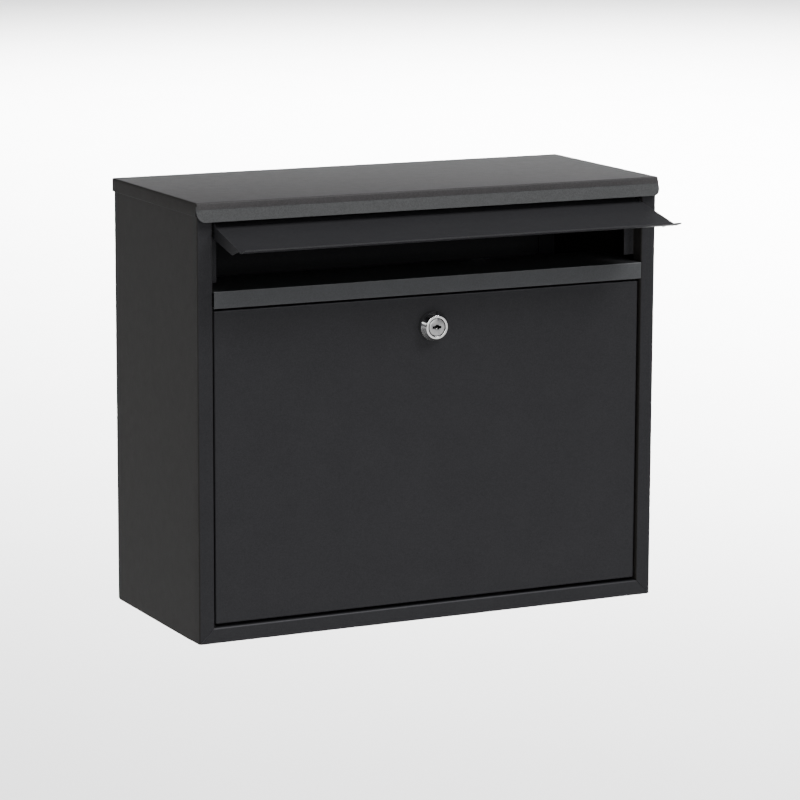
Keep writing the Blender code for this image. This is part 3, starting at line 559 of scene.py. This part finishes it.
def make_roof_cap(material, side_material):
    """The roof sheet: top, front band and side flanges, with rounded folds and corners."""
    low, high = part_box("roof_cap")
    half = high.x - ROOF_EASE
    front = low.y + ROOF_LIP_REACH
    fold = high.z - ROOF_BAND
    bm = bmesh.new()
    bmesh.ops.create_cube(bm, size=1.0)
    bmesh.ops.scale(bm, verts=bm.verts, vec=(2 * half, high.y - front, ROOF_BAND))
    bmesh.ops.translate(bm, verts=bm.verts, vec=(0, (front + high.y) / 2, high.z - ROOF_BAND / 2))
    rounded = []
    for edge in bm.edges:
        a, b = (v.co for v in edge.verts)
        on_top = min(a.z, b.z) > high.z - NEAR
        at_front = max(a.y, b.y) < front + NEAR
        upright = abs(a.z - b.z) > NEAR
        if (on_top and min(a.y, b.y) < front + NEAR) or (at_front and upright):
            rounded.append(edge)
    bmesh.ops.bevel(
        bm,
        geom=rounded,
        offset=ROOF_FOLD,
        segments=5,
        profile=0.5,
        affect="EDGES",
        clamp_overlap=True,
    )
    bm.normal_update()
    open_faces = [f for f in bm.faces if f.normal.z < -0.9 or f.normal.y > 0.9]
    bmesh.ops.delete(bm, geom=open_faces, context="FACES")
    for side in (-1, 1):
        edges = []
        for edge in bm.edges:
            a, b = (v.co for v in edge.verts)
            outer = min(a.x * side, b.x * side) > half - NEAR / 2
            if edge.is_boundary and outer and max(a.z, b.z) < fold + NEAR:
                edges.append(edge)
        pulled = bmesh.ops.extrude_edge_only(bm, edges=edges)["geom"]
        verts = [item for item in pulled if isinstance(item, bmesh.types.BMVert)]
        bmesh.ops.translate(bm, verts=verts, vec=(0, 0, ROOF_BAND - ROOF_SIDE))
    bmesh.ops.recalc_face_normals(bm, faces=bm.faces)
    top = max(bm.faces, key=lambda f: f.calc_center_median().z)
    if top.normal.z < 0:
        bmesh.ops.reverse_faces(bm, faces=bm.faces)
    piece = add_piece("roof_cap_sheet", bm, material, "box", "roof_cap")
    piece.data.materials.append(side_material)
    for face in piece.data.polygons:
        face.material_index = int(abs(face.normal.x) > 0.7)
    sheet = piece.modifiers.new("Sheet", "SOLIDIFY")
    sheet.thickness = SHEET
    sheet.offset = -1
    sheet.use_even_offset = True
    return soften(piece, ROOF_EDGE)


def make_roof_lip(material):
    """The flared drip lip: a strip of full width with rounded lower corners, bent out of the band."""
    low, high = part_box("roof_cap")
    half = high.x
    front = low.y + ROOF_LIP_REACH
    fold = high.z - ROOF_BAND
    tucked = front + LIP_TUCK
    corners = [(tucked, fold + LIP_OVERLAP), (tucked, fold), (low.y, low.z + ROOF_LIP_RISE)]
    chain = rounded_chain(corners, [LIP_BEND], 8)
    lengths = [0.0]
    for a, b in zip(chain, chain[1:]):
        lengths.append(lengths[-1] + (b - a).length)
    total = lengths[-1]

    def along(line, distance):
        for index in range(len(lengths) - 1):
            if distance <= lengths[index + 1] or index == len(lengths) - 2:
                share = (distance - lengths[index]) / (lengths[index + 1] - lengths[index])
                return line[index].lerp(line[index + 1], share)

    half -= LIP_CLEAR
    quarter = [math.radians(90) * step / LIP_STEPS for step in range(LIP_STEPS + 1)]
    insets = [LIP_CORNER[0] * (1 - math.cos(angle)) for angle in quarter]
    columns = [-half + inset for inset in insets] + [half - inset for inset in reversed(insets)]
    rows = lengths[:-1] + [lengths[-2] + (total - lengths[-2]) * step / 6 for step in range(1, 7)]
    bm = bmesh.new()
    skins = []
    for line in (chain, offset_chain(chain, SHEET - LIP_CLEAR)):
        skin = []
        for x in columns:
            share = max(1 - (half - abs(x)) / LIP_CORNER[0], 0.0)
            drop = LIP_CORNER[1] * (1 - math.sqrt(max(1 - share**2, 0.0)))
            points = [along(line, distance * (total - drop) / total) for distance in rows]
            skin.append([bm.verts.new((x, point.x, point.y)) for point in points])
        skins.append(skin)
    for skin in skins:
        for left, right in zip(skin, skin[1:]):
            for index in range(len(rows) - 1):
                bm.faces.new((left[index], left[index + 1], right[index + 1], right[index]))
    outer, inner = skins
    border = [column[0] for column in outer] + outer[-1][1:]
    border += [column[-1] for column in reversed(outer[:-1])] + list(reversed(outer[0][1:-1]))
    twin = [column[0] for column in inner] + inner[-1][1:]
    twin += [column[-1] for column in reversed(inner[:-1])] + list(reversed(inner[0][1:-1]))
    for index in range(len(border)):
        after = (index + 1) % len(border)
        bm.faces.new((border[index], border[after], twin[after], twin[index]))
    piece = add_piece("roof_lip", bm, material, "box")
    return soften(piece, FOLDED_EDGE, angle=60)


def make_sill(material):
    """Crossbar, stop flange and letter shelf, folded tightly from one sheet."""
    low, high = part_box("slot_sill")
    top = high.z
    under = top - SILL_FACE
    stop = low.y + SILL_RETURN
    points = [
        (stop, low.z),
        (stop, under),
        (low.y, under),
        (low.y, top),
        (high.y, top),
        (high.y, top - SHELF_LIP),
    ]
    bm = folded_sheet(points, SILL_BENDS, low.x, high.x)
    piece = add_piece("slot_sill_sheet", bm, material, "box", "slot_sill")
    return soften(piece, FOLDED_EDGE)


# ---------------------------------------------------------------- cam lock


def lathe(profile, centre, steps):
    """A turned solid about an axis along Y, from (radius, forward) points that close on themselves."""
    bm = bmesh.new()
    x0, y0, z0 = centre
    rings = []
    for radius, forward in profile:
        if radius < 1e-7:
            rings.append([bm.verts.new((x0, y0 - forward, z0))])
            continue
        ring = []
        for step in range(steps):
            angle = math.tau * step / steps
            place = (x0 + radius * math.cos(angle), y0 - forward, z0 + radius * math.sin(angle))
            ring.append(bm.verts.new(place))
        rings.append(ring)
    pairs = list(zip(rings, rings[1:]))
    if len(rings[0]) > 1 and len(rings[-1]) > 1:
        pairs.append((rings[-1], rings[0]))
    for first, second in pairs:
        for step in range(steps):
            after = (step + 1) % steps
            corners = [first[step % len(first)], first[after % len(first)]]
            corners += [second[after % len(second)], second[step % len(second)]]
            unique = list(dict.fromkeys(corners))
            if len(unique) > 2:
                bm.faces.new(unique)
    return bm


def make_lock_head(material):
    """Chrome head: a bright rim round the plug, a cone behind it and a plain band on the door."""
    y_front = LOCK_BOX[0].y
    centre = LOCK_CENTRE
    flange = (LOCK_BOX[1].x - LOCK_BOX[0].x) / 2
    length = LOCK_BOX[1].y - y_front
    profile = [(RIM_INNER, -HEAD_BORE_DEPTH), (RIM_INNER, -RIM_ROUND)]
    for step in range(5):
        angle = math.radians(90) * step / 4
        radius = RIM_INNER + RIM_ROUND * (1 - math.cos(angle))
        profile.append((radius, -RIM_ROUND * (1 - math.sin(angle))))
    for step in range(7):
        angle = math.radians(90) * step / 6
        radius = RIM_OUTER - RIM_CROWN * (1 - math.sin(angle))
        profile.append((radius, -RIM_CROWN * (1 - math.cos(angle))))
    cone = []
    for share in (0.03, 0.97):
        radius = RIM_OUTER + share * (flange - FLANGE_ROUND - RIM_OUTER)
        cone.append((radius, -CONE_START - share * (CONE_END - CONE_START)))
    profile += [
        (RIM_OUTER, -CONE_START),
        *cone,
        (flange - FLANGE_ROUND, -CONE_END),
        (flange - FLANGE_EASE, -CONE_END - FLANGE_DROP),
        (flange, -HEAD_FOOT_END),
        (BARREL, -HEAD_FOOT_END),
        (BARREL, -length + BARREL_CHAMFER),
        (BARREL - BARREL_CHAMFER, -length),
        (PLUG_BORE, -length),
        (PLUG_BORE, -HEAD_BORE_DEPTH),
    ]
    bm = lathe(profile, centre, LATHE_STEPS)
    return add_piece("lock_head", bm, material, "door", "lock_housing", smooth_angle=40)


def keyway_outline():
    """Outline of the keyhole, half a turn at a time: a level slot with a round centre."""
    half_long, half_tall = KEY_SLOT
    meet = math.asin(half_tall / KEY_ROUND)
    points = []
    for side in (1, -1):
        for step in range(9):
            angle = meet + (math.pi - 2 * meet) * step / 8
            points.append((side * KEY_ROUND * math.cos(angle), side * KEY_ROUND * math.sin(angle)))
        points.append((-side * half_long, side * half_tall))
        points.append((-side * half_long, -side * half_tall))
    return points


def make_lock_plug(material):
    """Plug with a keyhole through its face, and the square tail that carries the cam."""
    low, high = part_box("lock_plug")
    centre = ((low.x + high.x) / 2, low.y, (low.z + high.z) / 2)
    length = high.y - low.y
    outline = keyway_outline()
    circle = [math.tau * step / LATHE_STEPS for step in range(LATHE_STEPS)]
    bm = bmesh.new()

    def loop(points, forward):
        x0, y0, z0 = centre
        return [bm.verts.new((x0 + x, y0 - forward, z0 + z)) for x, z in points]

    def ring(radius, forward):
        return loop([(radius * math.cos(angle), radius * math.sin(angle)) for angle in circle], forward)

    def bridge(first, second):
        for index in range(len(first)):
            after = (index + 1) % len(first)
            bm.faces.new((first[index], first[after], second[after], second[index]))

    def rim(verts):
        return [bm.edges.get(pair) or bm.edges.new(pair) for pair in zip(verts, verts[1:] + verts[:1])]

    flare = [(x * KEY_FLARE, z * KEY_FLARE) for x, z in outline]
    hole = [loop(outline, -KEY_DEPTH), loop(outline, -KEY_FLARE_DEPTH), loop(flare, 0.0)]
    for first, second in zip(hole, hole[1:]):
        bridge(first, second)
    bm.faces.new(hole[0])
    skin = [
        ring(PLUG_FACE - PLUG_ROUND, 0.0),
        ring(PLUG_FACE - PLUG_EASE, -PLUG_EASE),
        ring(PLUG_FACE, -PLUG_ROUND),
        ring(PLUG_FACE, -PLUG_STEP),
        ring(PLUG_BODY, -PLUG_STEP),
        ring(PLUG_BODY, -PLUG_SHOULDER),
    ]
    for first, second in zip(skin, skin[1:]):
        bridge(first, second)
    bm.faces.new(skin[-1])
    bmesh.ops.triangle_fill(bm, use_beauty=True, use_dissolve=False, edges=rim(hole[-1]) + rim(skin[0]))
    half = TAIL_SIDE / 2
    tail = bmesh.ops.create_cube(bm, size=1.0)["verts"]
    tail_length = length - PLUG_SHOULDER + MM
    bmesh.ops.scale(bm, verts=tail, vec=(2 * half, tail_length, 2 * half))
    bmesh.ops.translate(bm, verts=tail, vec=(centre[0], high.y - tail_length / 2, centre[2]))
    return add_piece("lock_plug_face", bm, material, "lock", "lock_plug", smooth_angle=40)


def make_key_pin(material):
    """The first tumbler pin, seen at the foot of the keyhole."""
    low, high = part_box("lock_plug")
    centre = ((low.x + high.x) / 2, low.y + KEY_PIN_BACK, (low.z + high.z) / 2 - KEY_PIN_DROP)
    profile = [(0.0, 0.0)]
    for step in range(1, 7):
        angle = math.radians(90) * step / 6
        profile.append((KEY_PIN * math.sin(angle), -KEY_PIN * 0.5 * (1 - math.cos(angle))))
    profile += [(KEY_PIN, -KEY_DEPTH + KEY_PIN_BACK), (0.0, -KEY_DEPTH + KEY_PIN_BACK)]
    return add_piece("key_pin", lathe(profile, centre, 32), material, "lock")


make_roof_cap(coat_roof_painted_light, coat_side_painted_light)
make_roof_lip(coat_lip_painted_light)
make_sill(coat_sill_painted_light_and_shade)
make_lock_head(bright)
make_lock_plug(satin)
make_key_pin(plated)


# ---------------------------------------------------------------- stage


def make_floor():
    mesh = bpy.data.meshes.new("floor")
    half = FLOOR_SIZE / 2
    bm = bmesh.new()
    bmesh.ops.create_grid(bm, x_segments=1, y_segments=1, size=half)
    bm.to_mesh(mesh)
    bm.free()
    floor = bpy.data.objects.new("floor", mesh)
    floor.location = (0, 0, CAD_BOX[0].z - FLOOR_DROP)
    bpy.context.scene.collection.objects.link(floor)
    nodes = Nodes("floor_pale")
    tone = nodes.noise(0.6, 2.0, 0.5)
    clouded = nodes.spread(tone, 0.3, 0.7, 0.0, 1.0)
    colour = nodes.mixed(clouded, (0.90, 0.90, 0.90, 1), (0.92, 0.92, 0.92, 1))
    nodes.set(Base_Color=colour, Roughness=0.9, Specular_IOR_Level=0.1)
    mesh.materials.append(nodes.material)


def make_softbox(name, place, target, size, power, spread):
    """A rectangular light that the camera doesn't see, aimed at its target."""
    data = bpy.data.lights.new(name, "AREA")
    data.shape = "RECTANGLE"
    data.size, data.size_y = size
    data.energy = power
    data.spread = math.radians(spread)
    light = bpy.data.objects.new(name, data)
    light.visible_camera = False
    light.location = place
    direction = Vector(target) - Vector(place)
    light.rotation_euler = direction.to_track_quat("-Z", "Y").to_euler()
    bpy.context.scene.collection.objects.link(light)


def make_sun(name, direction, strength, angle):
    """A very soft overhead light; direction points from the object to the light."""
    data = bpy.data.lights.new(name, "SUN")
    data.energy = strength
    data.angle = math.radians(angle)
    light = bpy.data.objects.new(name, data)
    light.rotation_euler = Vector(direction).to_track_quat("Z", "Y").to_euler()
    bpy.context.scene.collection.objects.link(light)


def make_world():
    world = bpy.data.worlds.new("studio")
    world.use_nodes = True
    background = world.node_tree.nodes["Background"]
    background.inputs["Color"].default_value = WORLD_COLOUR
    background.inputs["Strength"].default_value = WORLD_STRENGTH
    bpy.context.scene.world = world


def make_camera():
    data = bpy.data.cameras.new("camera")
    data.lens = CAMERA_LENS
    data.sensor_width = CAMERA_SENSOR
    data.clip_end = 200.0
    camera = bpy.data.objects.new("camera", data)
    pitch = math.radians(90) - CAMERA_PITCH
    turn = Matrix.Rotation(-CAMERA_YAW, 4, "Z") @ Matrix.Rotation(pitch, 4, "X")
    camera.matrix_world = Matrix.Translation(CAMERA_PLACE) @ turn @ Matrix.Rotation(CAMERA_ROLL, 4, "Z")
    bpy.context.scene.collection.objects.link(camera)
    bpy.context.scene.camera = camera


make_camera()
make_floor()
make_world()
make_sun("overhead", SUN_DIRECTION, SUN_STRENGTH, SUN_ANGLE)
for softbox in SOFTBOXES:
    make_softbox(*softbox)
